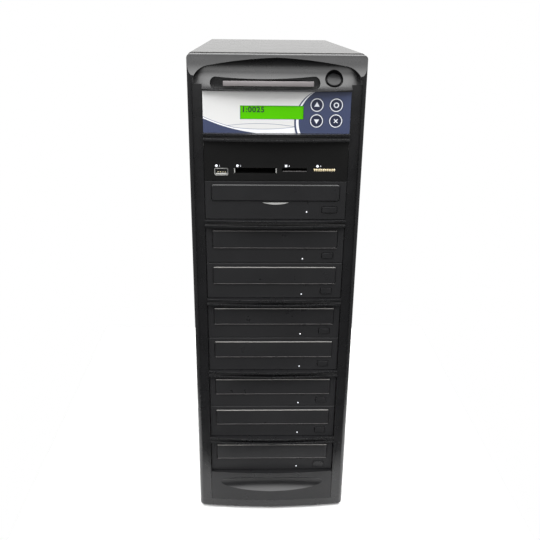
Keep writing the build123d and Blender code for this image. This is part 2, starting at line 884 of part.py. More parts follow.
with BuildPart() as thumb_screws:
    with BuildSketch(front_plane(rear_y + rear_proud)):
        with Locations(*screw_places):
            Circle(screw_head_radius)
    extrude(amount=screw_head)
    with BuildSketch(front_plane(rear_y + rear_proud)):
        with Locations(*screw_places):
            Rectangle(2 * screw_head_radius, screw_slot)
    extrude(amount=screw_slot, mode=Mode.SUBTRACT)
    with BuildSketch(front_plane(rear_y + sheet)):
        with Locations(*screw_places):
            Circle(screw_radius)
    extrude(amount=screw_length)
thumb_screws.part.label = "thumb_screws"
export_step(thumb_screws.part, "parts/thumb_screws.step")

with BuildPart() as feet:
    with BuildSketch(Plane.XY):
        with Locations((0, (plate_y[1] + rear_inner) / 2)):
            with GridLocations(
                case_width - foot_inset, rear_inner - plate_y[1] - foot_inset, 2, 2
            ):
                Circle(foot_radius)
    extrude(amount=foot_height)
feet.part.label = "feet"
export_step(feet.part, "parts/feet.step")

# --- Power supply and fans ---------------------------------------------------------

supply_y = (rear_inner - supply_depth, rear_inner)
supply_fan_size = supply_height - 2 * supply_fan_margin
supply_fan = (supply_fan_inset + supply_fan_size / 2 - supply_width / 2, supply_middle)
socket_x = supply_width / 2 - socket_inset
inlet_centre = (socket_x, supply_middle + inlet_lift)
rocker_centre = (socket_x, supply_middle - rocker_drop)
rocker_y = rear_y - rocker_radius / 2

with BuildPart() as power_supply:
    block((-supply_width / 2, supply_width / 2), supply_y, (supply_low, supply_top))
    block(
        (sheet - supply_width / 2, supply_width / 2 - sheet),
        (supply_y[0] + sheet, supply_y[1] - sheet),
        (supply_low + sheet, supply_top - sheet),
        mode=Mode.SUBTRACT,
    )
    with BuildSketch(front_plane(rear_inner)):
        with Locations(supply_fan):
            Circle(supply_fan_size / 2 - fan_rim)
        with Locations(inlet_centre):
            Rectangle(inlet_width, inlet_height)
        with Locations(rocker_centre):
            Rectangle(rocker_length + 2 * fit_gap, 2 * (rocker_radius + fit_gap))
    extrude(amount=sheet, mode=Mode.SUBTRACT)
power_supply.part.label = "power_supply"
export_step(power_supply.part, "parts/power_supply.step")

inlet_front = rear_inner + inlet_flange_thick
with BuildPart() as mains_inlet:
    with BuildSketch(front_plane(rear_inner)):
        with Locations(inlet_centre):
            Rectangle(inlet_width + 2 * inlet_flange, inlet_height + 2 * inlet_flange)
    extrude(amount=-inlet_flange_thick)
    with BuildSketch(front_plane(rear_inner)):
        with Locations(inlet_centre):
            Rectangle(inlet_width, inlet_height)
    extrude(amount=inlet_cavity + inlet_wall - inlet_flange_thick)
    with BuildSketch(front_plane(inlet_front)):
        with Locations(inlet_centre):
            Rectangle(inlet_width - 2 * inlet_wall, inlet_height - 2 * inlet_wall)
    extrude(amount=inlet_cavity, mode=Mode.SUBTRACT)
    # Three flat pins, the earth pin set towards the long side.
    with BuildSketch(front_plane(inlet_front - inlet_cavity)):
        with Locations(
            (inlet_centre[0] - pin_length, inlet_centre[1] - inlet_wall),
            (inlet_centre[0] + pin_length, inlet_centre[1] - inlet_wall),
            (inlet_centre[0], inlet_centre[1] + 2 * inlet_wall),
        ):
            Rectangle(pin_width, pin_height)
    extrude(amount=-pin_length)
mains_inlet.part.label = "mains_inlet"
export_step(mains_inlet.part, "parts/mains_inlet.step")

# The rocker turns on its own round back, and its front is a shallow V.
rocker_plane = Plane(
    origin=(rocker_centre[0] - rocker_length / 2, rocker_y, rocker_centre[1]),
    x_dir=Vector(0, 1, 0).rotate(Axis.X, rocker_tilt),
    z_dir=(1, 0, 0),
)
with BuildPart() as power_rocker:
    with BuildSketch(rocker_plane):
        Circle(rocker_radius)
        Polygon(
            (rocker_hollow, 0),
            (rocker_hollow + rocker_rise, rocker_radius),
            (2 * rocker_radius, rocker_radius),
            (2 * rocker_radius, -rocker_radius),
            (rocker_hollow + rocker_rise, -rocker_radius),
            align=None,
            mode=Mode.SUBTRACT,
        )
    extrude(amount=rocker_length)
power_rocker.part.label = "power_rocker"
export_step(power_rocker.part, "parts/power_rocker.step")

# Each fan's centre, the back of its frame, and the frame's size.
fan_rows = {
    "fan_rotor_upper": (*case_fans[0], rear_inner, fan_size),
    "fan_rotor_lower": (*case_fans[1], rear_inner, fan_size),
    "psu_fan_rotor": (*supply_fan, rear_inner - sheet, supply_fan_size),
}

# Each frame carries its motor and pin on four struts at its inner face.
with BuildPart() as fan_frames:
    for x, z, back, size in fan_rows.values():
        inner = back - fan_thick
        bore = size / 2 - fan_rim
        hole_pitch = size - 2 * fan_hole_inset
        with BuildSketch(front_plane(back)):
            with Locations((x, z)):
                Rectangle(size, size)
                Circle(bore, mode=Mode.SUBTRACT)
                with GridLocations(hole_pitch, hole_pitch, 2, 2):
                    Circle(fan_hole_radius, mode=Mode.SUBTRACT)
        extrude(amount=fan_thick)
        with BuildSketch(front_plane(inner)):
            with Locations((x, z)):
                Circle(fan_hub)
                with PolarLocations(0, 4):
                    Rectangle(bore + fan_strut, fan_strut, align=(Align.MIN, Align.CENTER))
        extrude(amount=-fan_motor)
        with BuildSketch(front_plane(inner + fan_motor)):
            with Locations((x, z)):
                Circle(fan_pin)
        extrude(amount=-(fan_thick - fan_motor - 2 * fan_rotor_sink))
fan_frames.part.label = "fan_frames"
export_step(fan_frames.part, "parts/fan_frames.step")

rotor_depth = fan_thick - fan_motor - fan_rotor_sink - fan_gap
for name, (x, z, back, size) in fan_rows.items():
    rotor_middle = (x, back - fan_rotor_sink - rotor_depth / 2, z)
    rotor_plane = Plane(rotor_middle, x_dir=(1, 0, 0), z_dir=(0, -1, 0))
    rotor_radius = size / 2 - fan_rim - fan_gap
    blade_span = rotor_radius - fan_hub / 2
    with BuildPart(rotor_plane) as rotor:
        with PolarLocations(fan_hub / 2 + blade_span / 2, fan_blades):
            Box(blade_span, fan_blade_thick, fan_blade_chord, rotation=(fan_blade_pitch, 0, 0))
        Cylinder(rotor_radius, rotor_depth, mode=Mode.INTERSECT)
        Cylinder(fan_hub, rotor_depth)
        Cylinder(fan_pin + fan_pin_play, rotor_depth, mode=Mode.SUBTRACT)
    rotor.part.label = name
    export_step(rotor.part, f"parts/{name}.step")

with BuildPart() as fan_guards:
    for x, z, back, size in fan_rows.values():
        outside = max(back + sheet, rear_inner) + fit_gap
        wire = 2 * guard_wire
        bore = size / 2 - fan_rim
        spoke = (size / 2 - fan_hole_inset) * 2**0.5 + fan_hole_radius
        with BuildSketch(front_plane(outside)):
            with Locations((x, z)):
                Circle(bore)
                Circle(bore - wire, mode=Mode.SUBTRACT)
                for share in guard_rings:
                    with BuildSketch(mode=Mode.PRIVATE) as ring:
                        Circle(share * bore)
                        Circle(share * bore - wire, mode=Mode.SUBTRACT)
                    add(ring.sketch)
                with PolarLocations(0, 4, start_angle=45):
                    Rectangle(spoke, wire, align=(Align.MIN, Align.CENTER))
        extrude(amount=-wire)
fan_guards.part.label = "fan_guards"
export_step(fan_guards.part, "parts/fan_guards.step")
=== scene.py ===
import math

import bpy
from mathutils import Matrix, Vector


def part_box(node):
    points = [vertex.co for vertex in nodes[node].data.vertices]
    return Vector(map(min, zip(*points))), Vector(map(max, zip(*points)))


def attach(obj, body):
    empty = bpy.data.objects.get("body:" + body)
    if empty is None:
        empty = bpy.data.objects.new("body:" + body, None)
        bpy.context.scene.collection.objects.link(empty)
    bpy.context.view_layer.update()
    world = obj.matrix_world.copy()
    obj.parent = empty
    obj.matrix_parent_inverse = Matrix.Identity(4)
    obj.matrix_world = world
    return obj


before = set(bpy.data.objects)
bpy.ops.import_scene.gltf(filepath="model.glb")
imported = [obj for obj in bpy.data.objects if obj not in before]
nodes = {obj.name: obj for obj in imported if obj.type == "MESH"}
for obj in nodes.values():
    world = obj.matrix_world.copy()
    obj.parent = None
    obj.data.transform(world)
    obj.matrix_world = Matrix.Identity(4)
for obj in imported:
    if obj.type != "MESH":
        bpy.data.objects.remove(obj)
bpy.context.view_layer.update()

MM = 0.001
PHOTO_WIDTH = 540  # pixels
SENSOR_WIDTH = 36.0  # mm
FRONT = (math.pi / 2, 0, 0)  # turns a flat primitive to face the viewer

# Places that the looks hang on, read from the frame.
panel_low, panel_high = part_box("panel_overlay")
cards_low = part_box("card_panel")[0]
head_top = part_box("front_bezel")[1].z
guard_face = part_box("fan_guards")[1].y
rear_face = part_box("rear_panel")[1].y
floor_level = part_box("feet")[0].z
bay_face = panel_low.y

PORT_LIGHTS = (-61.4, -39.8, 10.3, 42.7)  # mm across, above the card slots
FAN_HEIGHTS = (395.0, 300.0)  # mm, middles of the two exhaust fans
FAN_HOLE = 35.75  # mm from a fan's middle to its screws, across and up
PRINT = 0.08  # mm, thickness of the screen ink on the keys


# --- Camera, light and floor --------------------------------------------------------

CAMERA_PLACE = Vector((-0.024, bay_face - 0.671, panel_high.z + 0.070))
CAMERA_PITCH = 21.15  # degrees down
CAMERA_YAW = -1.62
CAMERA_ROLL = 0.67
FOCAL_PIXELS = 659


def set_camera():
    """The photographer stands close in front, a little above the tower, and looks down."""
    lens = bpy.data.cameras.new("photo_camera")
    lens.sensor_width = SENSOR_WIDTH
    lens.lens = FOCAL_PIXELS * SENSOR_WIDTH / PHOTO_WIDTH
    camera = bpy.data.objects.new("photo_camera", lens)
    bpy.context.scene.collection.objects.link(camera)
    turn = Matrix.Rotation(math.radians(CAMERA_YAW), 4, "Z")
    tip = Matrix.Rotation(math.radians(90 - CAMERA_PITCH), 4, "X")
    roll = Matrix.Rotation(math.radians(CAMERA_ROLL), 4, "Z")
    camera.matrix_world = Matrix.Translation(CAMERA_PLACE) @ turn @ tip @ roll
    bpy.context.scene.camera = camera


def add_lamp(name, place, target, size, watts):
    """A soft rectangular light at a place, facing a target."""
    lamp = bpy.data.lights.new(name, "AREA")
    lamp.shape = "RECTANGLE"
    lamp.size, lamp.size_y = size
    lamp.energy = watts
    holder = bpy.data.objects.new(name, lamp)
    bpy.context.scene.collection.objects.link(holder)
    holder.location = place
    aim = Vector(target) - Vector(place)
    holder.rotation_euler = aim.to_track_quat("-Z", "Y").to_euler()


def set_studio():
    """A light tent: brightest overhead, white behind, dim at the sides and low in front."""
    bpy.context.scene.view_settings.view_transform = "Standard"
    add_lamp("front_softbox", (0, -2.2, 0.95), (0, 0, 0.35), (1.6, 0.7), 8.5)
    add_lamp("left_softbox", (-1.2, -1.1, 1.5), (0, -0.2, 0.5), (0.5, 0.5), 2)
    add_lamp("right_softbox", (1.2, -1.1, 1.5), (0, -0.2, 0.5), (0.5, 0.5), 2)
    world = bpy.data.worlds.new("light_tent")
    bpy.context.scene.world = world
    world.use_nodes = True
    tree = world.node_tree
    tree.nodes.clear()
    ray = add_node(tree, "ShaderNodeLightPath")
    way = add_node(tree, "ShaderNodeTexCoord")
    parts = add_node(tree, "ShaderNodeSeparateXYZ", {0: way.outputs["Generated"]})
    aside = add_node(tree, "ShaderNodeMath", {0: parts.outputs["X"]}, operation="ABSOLUTE")

    # What reflections see: each soft-edged wall grows to its strength along one direction.
    tent = 0.04
    for along, start, full, strength in (
        (parts.outputs["Y"], 0.88, 0.98, 0.8),  # behind
        (aside.outputs[0], 0.45, 0.9, 0.2),  # both sides
        (parts.outputs["Z"], 0.02, 0.3, 1.6),  # low all round
        (parts.outputs["Z"], 0.3, 0.7, 7.0),  # overhead
    ):
        wall = add_node(
            tree, "ShaderNodeMapRange", {0: along, 1: start, 2: full, 3: 0.0, 4: strength},
            interpolation_type="SMOOTHSTEP",
        )
        tent = add_node(
            tree, "ShaderNodeMath", {0: wall.outputs[0], 1: tent}, operation="MAXIMUM"
        ).outputs[0]

    # What matte surfaces gather, and the plain white that the camera sees.
    fill = add_node(
        tree, "ShaderNodeMapRange", {0: parts.outputs["Z"], 1: 0.4, 2: 1.0, 3: 0.42, 4: 0.8}
    )
    matte = add_node(
        tree, "ShaderNodeMix",
        {0: ray.outputs["Is Diffuse Ray"], 2: tent, 3: fill.outputs[0]},
    )
    seen = add_node(
        tree, "ShaderNodeMath",
        {0: ray.outputs["Is Camera Ray"], 1: ray.outputs["Is Transmission Ray"]},
        operation="MAXIMUM",
    )
    strength = add_node(
        tree, "ShaderNodeMix", {0: seen.outputs[0], 2: matte.outputs[0], 3: 1.0}
    )
    glow = add_node(
        tree, "ShaderNodeBackground", {0: (1, 1, 1, 1), 1: strength.outputs[0]}
    )
    add_node(tree, "ShaderNodeOutputWorld", {0: glow.outputs[0]})


def set_floor():
    """A white table top, a little larger than the tower's footprint."""
    front_edge = bay_face - 0.09
    rear_edge = rear_face + 0.12
    floor = start_piece(
        bpy.ops.mesh.primitive_plane_add,
        scale=(0.62, rear_edge - front_edge, 1),
        size=1, location=(0, (front_edge + rear_edge) / 2, floor_level),
    )
    floor.name = "studio_floor"
    floor.data.materials.append(white_floor())


# --- Materials ----------------------------------------------------------------------


def hex_colour(code):
    """A linear RGBA colour from an sRGB hex value."""
    levels = [int(code[i : i + 2], 16) / 255 for i in (1, 3, 5)]
    linear = [v / 12.92 if v <= 0.04045 else ((v + 0.055) / 1.055) ** 2.4 for v in levels]
    return (*linear, 1.0)


def add_node(tree, kind, inputs=None, **settings):
    """Adds a node, sets its options, and sets or links its inputs."""
    made = tree.nodes.new(kind)
    for key, value in settings.items():
        setattr(made, key, value)
    for key, value in (inputs or {}).items():
        if isinstance(value, bpy.types.NodeSocket):
            tree.links.new(value, made.inputs[key])
        else:
            made.inputs[key].default_value = value
    return made


def start_material(name, **shader_inputs):
    """A material with its output, its shader and the object's own coordinates."""
    material = bpy.data.materials.new(name)
    material.use_nodes = True
    tree = material.node_tree
    tree.nodes.clear()
    shader = add_node(tree, "ShaderNodeBsdfPrincipled", shader_inputs)
    add_node(tree, "ShaderNodeOutputMaterial", {"Surface": shader.outputs[0]})
    place = add_node(tree, "ShaderNodeTexCoord").outputs["Object"]
    return material, tree, shader, place


def per_mm(size):
    """Texture scale, in cycles per metre, of a feature of this size in millimetres."""
    return 1 / (size * MM)


def add_surface(tree, shader, place, grain, depth, edge):
    """Fine raised grain, and edges that look rounded; all sizes in millimetres."""
    rounded = add_node(tree, "ShaderNodeBevel", {"Radius": edge * MM}, samples=4)
    bumps = add_node(
        tree, "ShaderNodeTexNoise", {"Vector": place, "Scale": per_mm(grain), "Detail": 2.0}
    )
    relief = add_node(
        tree, "ShaderNodeBump",
        {"Height": bumps.outputs[0], "Distance": depth * MM, "Normal": rounded.outputs[0]},
    )
    tree.links.new(relief.outputs[0], shader.inputs["Normal"])


def vary(tree, place, size, low, high):
    """A slow change between two values, with spots of a size in millimetres."""
    cloud = add_node(
        tree, "ShaderNodeTexNoise", {"Vector": place, "Scale": per_mm(size), "Detail": 3.0}
    )
    spread = add_node(
        tree, "ShaderNodeMapRange", {0: cloud.outputs[0], 1: 0.3, 2: 0.7, 3: low, 4: high}
    )
    return spread.outputs[0]


def colour_by(tree, shader, factor, first, second, sockets=("Base Color",)):
    """Colours a shader between two hex values by a pattern."""
    tone = add_node(
        tree, "ShaderNodeMix", {0: factor, 6: hex_colour(first), 7: hex_colour(second)},
        data_type="RGBA",
    )
    for socket in sockets:
        tree.links.new(tone.outputs[2], shader.inputs[socket])


def white_floor():
    """White melamine table top: bright, and it shows to the camera as plain white."""
    material, tree, shader, place = start_material("white_melamine_floor", Roughness=0.7)
    colour_by(tree, shader, vary(tree, place, 400, 0, 1), "#f4f4f4", "#f0f0f0")
    return material


def plastic(name, dark, light, rough, grain, depth, spots=60, edge=0.4, shine=0.5):
    """Injection moulded plastic: a slow drift of tone and gloss over a spark-eroded grain.

    The real grain is finer than 0.1 mm, so it is drawn about half a millimetre wide to show.
    """
    material, tree, shader, place = start_material(name, **{"Specular IOR Level": shine})
    colour_by(tree, shader, vary(tree, place, spots, 0, 1), dark, light)
    gloss = vary(tree, place, spots / 3, rough - 0.03, rough + 0.03)
    tree.links.new(gloss, shader.inputs["Roughness"])
    add_surface(tree, shader, place, grain, depth, edge)
    return material


def moulded_abs():
    """Satin black ABS of the moulded front: blurred reflections with a faint sparkle."""
    return plastic(
        "moulded_abs_front", "#101011", "#131314",
        rough=0.28, grain=0.5, depth=0.003, edge=0.25,
    )


def cover_abs():
    """The lower cover's ABS: the same black, from a mould with a duller skin."""
    return plastic(
        "moulded_abs_lower_cover", "#111112", "#141415",
        rough=0.3, grain=0.5, depth=0.003, edge=0.25, shine=0.34,
    )


def grained_abs():
    """Matte black drive fronts: fine even grain that keeps them darker than the frame."""
    return plastic(
        "grained_abs_drive_front", "#1f1f20", "#232324",
        rough=0.4, grain=0.4, depth=0.006, edge=0.3, shine=0.12,
    )


def tray_abs():
    """Tray faces, a shade smoother than the fronts around them."""
    return plastic(
        "polished_abs_tray", "#1b1b1c", "#1f1f20",
        rough=0.3, grain=0.4, depth=0.003, edge=0.45, shine=0.35,
    )


def edge_abs():
    """Upper edges of the trays in pale grey: a painted highlight of the light they throw back
    from above.
    """
    return plastic(
        "abs_tray_edge_painted_highlight", "#8e8c89", "#9a9895",
        rough=0.25, grain=0.4, depth=0.001, spots=14, edge=0.1,
    )


def button_abs():
    """Small satin buttons that catch a soft highlight on their edges."""
    return plastic(
        "satin_abs_button", "#1b1b1c", "#202021",
        rough=0.3, grain=0.4, depth=0.003, spots=12, shine=0.25,
    )


def card_front_abs():
    """The flat card panel: dull black that shows almost no reflection."""
    return plastic(
        "matte_abs_card_panel", "#0c0c0c", "#101010",
        rough=0.5, grain=0.35, depth=0.004, shine=0.12,
    )


def socket_nylon():
    """Black nylon of the card sockets, lost in the dark of their slots."""
    return plastic(
        "nylon_card_socket", "#070707", "#0c0c0c",
        rough=0.45, grain=0.4, depth=0.004, spots=10, shine=0.3,
    )


def fan_nylon():
    """Black glass-filled nylon of fans, inlet and rocker, slightly grey and dull."""
    return plastic(
        "nylon_fan_black", "#131313", "#1a1a1a",
        rough=0.45, grain=0.5, depth=0.006, spots=25,
    )


def foot_rubber():
    """Moulded rubber feet: soft dull black with a dusty bloom."""
    return plastic(
        "rubber_foot", "#161616", "#242424",
        rough=0.8, grain=0.8, depth=0.03, spots=8, edge=0.8,
    )


def powder_coat():
    """Black powder-coated sheet: orange-peel skin that turns pale at a grazing view."""
    return plastic(
        "powder_coat_case", "#1e1d1b", "#242321",
        rough=0.24, grain=1.4, depth=0.003, spots=90, edge=0.8,
    )


def satin_strip():
    """The ledge in the finger slot: satin grey, faintly rose, brightest along its top; its
    pale grey is partly its own trim colour and partly painted highlight.
    """
    return plastic(
        "satin_grey_ledge_and_painted_highlight", "#7a7576", "#837e7f",
        rough=0.35, grain=0.5, depth=0.003, spots=30,
    )


def lip_grey():
    """Dark satin grey of thin lips: a painted highlight of the light they catch from above.
    """
    return plastic(
        "satin_dark_lip_painted_highlight", "#4c4a4a", "#565353",
        rough=0.35, grain=0.4, depth=0.002, spots=10,
    )


def crescent_grey():
    """Pale grey of the source drive's finger crescent: a painted highlight of the
    upward-facing scoop.
    """
    return plastic(
        "grey_crescent_painted_highlight", "#a0a09e", "#acacaa",
        rough=0.35, grain=0.3, depth=0.004, spots=8,
    )


def key_film():
    """The keys' dark navy caps under the same film."""
    return plastic(
        "navy_key_film", "#171c30", "#1b2038",
        rough=0.35, grain=0.6, depth=0.002, spots=10, edge=0.2,
    )


def white_ink():
    """Opaque white screen ink of the rings, signs and port numbers."""
    return plastic(
        "white_screen_ink", "#dfe2e8", "#d8dbe2",
        rough=0.45, grain=0.6, depth=0.001, spots=6, edge=0.05,
    )


def zinc_sheet():
    """Zinc-coated steel sheet: its faint crystal pattern breaks up the reflections."""
    material, tree, shader, place = start_material("zinc_coated_steel", Metallic=1.0)
    flakes = add_node(tree, "ShaderNodeTexVoronoi", {"Vector": place, "Scale": per_mm(9)})
    shade = add_node(tree, "ShaderNodeSeparateColor", {0: flakes.outputs["Color"]})
    colour_by(tree, shader, shade.outputs[0], "#9da1a3", "#b4b7b8")
    rough = vary(tree, place, 20, 0.30, 0.44)
    tree.links.new(rough, shader.inputs["Roughness"])
    add_surface(tree, shader, place, 1.5, 0.004, 0.3)
    return material


def plating(name, tint, worn, rough, edge=0.2):
    """Bright plating with faint handling marks in tone and gloss."""
    material, tree, shader, place = start_material(name, Metallic=1.0)
    colour_by(tree, shader, vary(tree, place, 4, 0, 1), tint, worn)
    gloss = vary(tree, place, 2, rough - 0.05, rough + 0.05)
    tree.links.new(gloss, shader.inputs["Roughness"])
    add_surface(tree, shader, place, 0.8, 0.001, edge)
    return material


def nickel_plate():
    """Nickel plating of the screws: bright, a little warm, finely polished."""
    return plating("nickel_plated_steel", "#d2d0ca", "#b4b2ad", 0.22)


def chrome_wire():
    """Chromed wire of the fan guards: sharp bright lines on rounded wire."""
    return plating("chrome_plated_wire", "#d6d8da", "#c4c6c8", 0.12, edge=0.8)


def tin_plate():
    """Dull tin plating of the port shell and clips: pale grey from every side."""
    material, tree, shader, place = start_material(
        "tin_plated_shell", Metallic=0.2, Roughness=0.4
    )
    colour_by(tree, shader, vary(tree, place, 3, 0, 1), "#b0b0ad", "#a4a4a1")
    add_surface(tree, shader, place, 0.6, 0.001, 0.3)
    return material


def gold_flash():
    """Gold-flashed contact springs, almost white where they face the light."""
    material, tree, shader, place = start_material(
        "gold_flashed_contact", Metallic=0.5, Roughness=0.3
    )
    colour_by(tree, shader, vary(tree, place, 2, 0, 1), "#f8ecd0", "#efdca8")
    add_surface(tree, shader, place, 0.5, 0.001, 0.2)
    return material


def circuit_board():
    """Green solder mask over copper tracks: glossy, with lighter track lines."""
    material, tree, shader, place = start_material("solder_mask_board", Roughness=0.3)
    tracks = add_node(
        tree, "ShaderNodeTexBrick", {"Vector": place, "Scale": per_mm(6), "Mortar Size": 0.03}
    )
    colour_by(tree, shader, tracks.outputs["Fac"], "#0d3d1e", "#1f6b38")
    return material


def lit_display():
    """Backlit display glass: an even bright green glow under a clear pane."""
    material, tree, shader, place = start_material(
        "backlit_display_glass", Roughness=0.15, **{"Emission Strength": 0.16}
    )
    glow = vary(tree, place, 30, 0, 1)
    colour_by(tree, shader, glow, "#4cb202", "#52ba04", ("Base Color", "Emission Color"))
    return material


def dark_segments():
    """Display characters: near-black green dots, with the glow between them.

    The real dots are a little over half a millimetre, and are drawn coarser to show.
    """
    material, tree, shader, place = start_material("liquid_crystal_dots", Roughness=0.4)
    dots = add_node(
        tree, "ShaderNodeTexBrick",
        {
            "Vector": place,
            "Scale": per_mm(0.9),
            "Mortar Size": 0.08,
            "Brick Width": 1.0,
            "Row Height": 1.0,
        },
        offset=0.0,
    )
    colour_by(tree, shader, dots.outputs["Fac"], "#08250a", "#155404")
    return material


def clear_lens():
    """Polycarbonate light pipes, drawn near-white with a faint glow: their bright rounded
    tips are painted highlight and painted glow.
    """
    material, tree, shader, place = start_material(
        "polycarbonate_lens_painted_glow", Roughness=0.15, **{"Emission Strength": 0.45}
    )
    glow = vary(tree, place, 1, 0, 1)
    colour_by(tree, shader, glow, "#f4f7fb", "#dfe5ee", ("Base Color", "Emission Color"))
    return material


def circle_through(first, second, third):
    """Centre and radius of the circle through three points in X and Z."""
    (ax, az), (bx, bz), (cx, cz) = first, second, third
    span = 2 * (ax * (bz - cz) + bx * (cz - az) + cx * (az - bz))
    sa, sb, sc = ax * ax + az * az, bx * bx + bz * bz, cx * cx + cz * cz
    centre_x = (sa * (bz - cz) + sb * (cz - az) + sc * (az - bz)) / span
    centre_z = (sa * (cx - bx) + sb * (ax - cx) + sc * (bx - ax)) / span
    return centre_x, centre_z, math.dist((centre_x, centre_z), first)


def printed_film():
    """Screen-printed film: pale ground with navy fields, edged by curved lines."""
    material, tree, shader, place = start_material("printed_polyester_film", Roughness=0.35)
    parts = add_node(tree, "ShaderNodeSeparateXYZ", {0: place})
    across = parts.outputs[0]
    flat = add_node(tree, "ShaderNodeCombineXYZ", {0: across, 2: parts.outputs[2]})

    def beyond(*points):
        """How far outside the circle through three panel points, in millimetres."""
        spots = [(panel_low.x + x * MM, panel_low.z + z * MM) for x, z in points]
        x, z, radius = circle_through(*spots)
        far = add_node(
            tree, "ShaderNodeVectorMath", {0: flat.outputs[0], 1: (x, 0, z)},
            operation="DISTANCE",
        )
        scaled = add_node(
            tree, "ShaderNodeMapRange",
            {0: far.outputs["Value"], 1: radius - MM, 2: radius + MM, 3: -1.0, 4: 1.0},
            clamp=False,
        )
        return scaled.outputs[0]

    everywhere = 1.0
    left_part = add_node(
        tree, "ShaderNodeMath", {0: across, 1: panel_low.x + 80 * MM}, operation="LESS_THAN"
    ).outputs[0]
    middle_part = add_node(
        tree, "ShaderNodeMath", {0: across, 1: panel_low.x + 57 * MM, 2: 35 * MM},
        operation="COMPARE",
    ).outputs[0]
    key_field = beyond((112.4, 41.3), (95.9, 12), (98.1, 0))
    white_edge = beyond((111.7, 41.3), (93.4, 11), (95.3, 0))
    navy_edge = beyond((111.3, 41.3), (91.5, 11), (93.3, 0))
    sweep = beyond((0, 14.3), (26, 5.2), (58, -0.4))
    upper_hair = beyond((22, 6.9), (42, 9.0), (92, 6.6))
    lower_hair = beyond((22, 6.6), (58, 3.9), (92, 6.2))

    navy = hex_colour("#363e5a")
    white = hex_colour("#f0f1f4")
    hairline = hex_colour("#868ca2")
    tone = add_node(
        tree, "ShaderNodeMix",
        {0: vary(tree, place, 50, 0, 1), 6: hex_colour("#dddddc"), 7: hex_colour("#dadad9")},
        data_type="RGBA",
    ).outputs[2]
    # The inks in the order that they are printed, each where a distance passes its test:
    # below or above a level, or within a reach of it.
    for part, distance, test, level, reach, ink in (
        (middle_part, upper_hair, "COMPARE", 0, 0.25, hairline),
        (middle_part, lower_hair, "COMPARE", 0, 0.25, hairline),
        (left_part, sweep, "COMPARE", -1.5, 0.3, hairline),
        (left_part, sweep, "COMPARE", -0.6, 0.6, white),
        (middle_part, lower_hair, "GREATER_THAN", 0.25, 0, white),
        (left_part, sweep, "GREATER_THAN", 0, 0, navy),
        (everywhere, navy_edge, "LESS_THAN", 0, 0, navy),
        (everywhere, white_edge, "LESS_THAN", 0, 0, white),
        (everywhere, key_field, "LESS_THAN", 0, 0, navy),
    ):
        inside = add_node(
            tree, "ShaderNodeMath", {0: distance, 1: level, 2: reach}, operation=test
        )
        stencil = add_node(
            tree, "ShaderNodeMath", {0: part, 1: inside.outputs[0]}, operation="MULTIPLY"
        )
        tone = add_node(
            tree, "ShaderNodeMix", {0: stencil.outputs[0], 6: tone, 7: ink}, data_type="RGBA"
        ).outputs[2]
    tree.links.new(tone, shader.inputs["Base Color"])
    add_surface(tree, shader, place, 0.6, 0.002, 0.1)
    return material


# --- CAD nodes carried over ---------------------------------------------------------


def dress(names, material):
    """Gives CAD nodes a material."""
    for name in names:
        nodes[name].data.materials.clear()
        nodes[name].data.materials.append(material)


def of_drives(part):
    """The eight nodes of one drive part."""
    return [f"drive_{number}_{part}" for number in range(1, 9)]


def dress_cad():
    """Every CAD node in its own finish."""
    dress(["front_bezel"], moulded_abs())
    dress(["lower_cover"], cover_abs())
    dress(of_drives("bezel"), grained_abs())
    dress(of_drives("tray"), tray_abs())
    dress(of_drives("button") + ["power_button"], button_abs())
    dress(["control_panel", "card_panel"], card_front_abs())
    dress(["panel_overlay"], printed_film())
    dress([name for name in nodes if name.startswith("key_")], key_film())
    dress(["display_module"], lit_display())
    dress(["card_sockets"], socket_nylon())
    dress(["circuit_boards"], circuit_board())
    dress(["case_cover"], powder_coat())
    dress(["feet"], foot_rubber())
    plates = ["base_pan", "rear_panel", "front_plate", "drive_cage", "power_supply"]
    dress(plates + of_drives("housing"), zinc_sheet())
    dress(["fan_guards"], chrome_wire())
    dress(["thumb_screws"], shared["nickel"])
    black = ["mains_inlet", "power_rocker", "fan_frames", "fan_rotor_upper"]
    dress(black + ["fan_rotor_lower", "psu_fan_rotor"], fan_nylon())


# --- New pieces ---------------------------------------------------------------------


def start_piece(add_primitive, scale=(1, 1, 1), **settings):
    """Adds a primitive at its size and place, with its origin moved to the world's."""
    bpy.ops.object.select_all(action="DESELECT")
    add_primitive(**settings)
    piece = bpy.context.active_object
    piece.scale = scale
    bpy.ops.object.transform_apply(location=True, rotation=True, scale=True)
    return piece


def start_block(low, high):
    """A block between two corners, ready to be shaped."""
    low, high = Vector(low), Vector(high)
    return start_piece(
        bpy.ops.mesh.primitive_cube_add, scale=high - low, size=1, location=(low + high) / 2
    )


def pick_faces(test):
    """Goes into edit mode with the active piece's faces that pass a test selected."""
    piece = bpy.context.active_object
    bpy.ops.object.mode_set(mode="EDIT")
    bpy.ops.mesh.select_mode(type="FACE")
    bpy.ops.mesh.select_all(action="DESELECT")
    bpy.ops.object.mode_set(mode="OBJECT")
    for face in piece.data.polygons:
        face.select = test(face)
    bpy.ops.object.mode_set(mode="EDIT")


def faces_front(face):
    """True of a face that looks at the viewer."""
    return face.normal.y < -0.9


def step_in(inset, forward):
    """Insets the selected faces and moves them towards the viewer, in millimetres."""
    bpy.ops.mesh.inset(thickness=inset * MM)
    bpy.ops.transform.translate(value=(0, -forward * MM, 0))


def round_edges(width):
    """Bevels every edge of the active piece by a width in millimetres."""
    bpy.ops.object.mode_set(mode="EDIT")
    bpy.ops.mesh.select_all(action="SELECT")
    bpy.ops.mesh.bevel(offset=width * MM, segments=2, affect="EDGES")
    bpy.ops.object.mode_set(mode="OBJECT")


def hang(piece, body):
    """Makes a piece move with a body."""
    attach(piece, body)


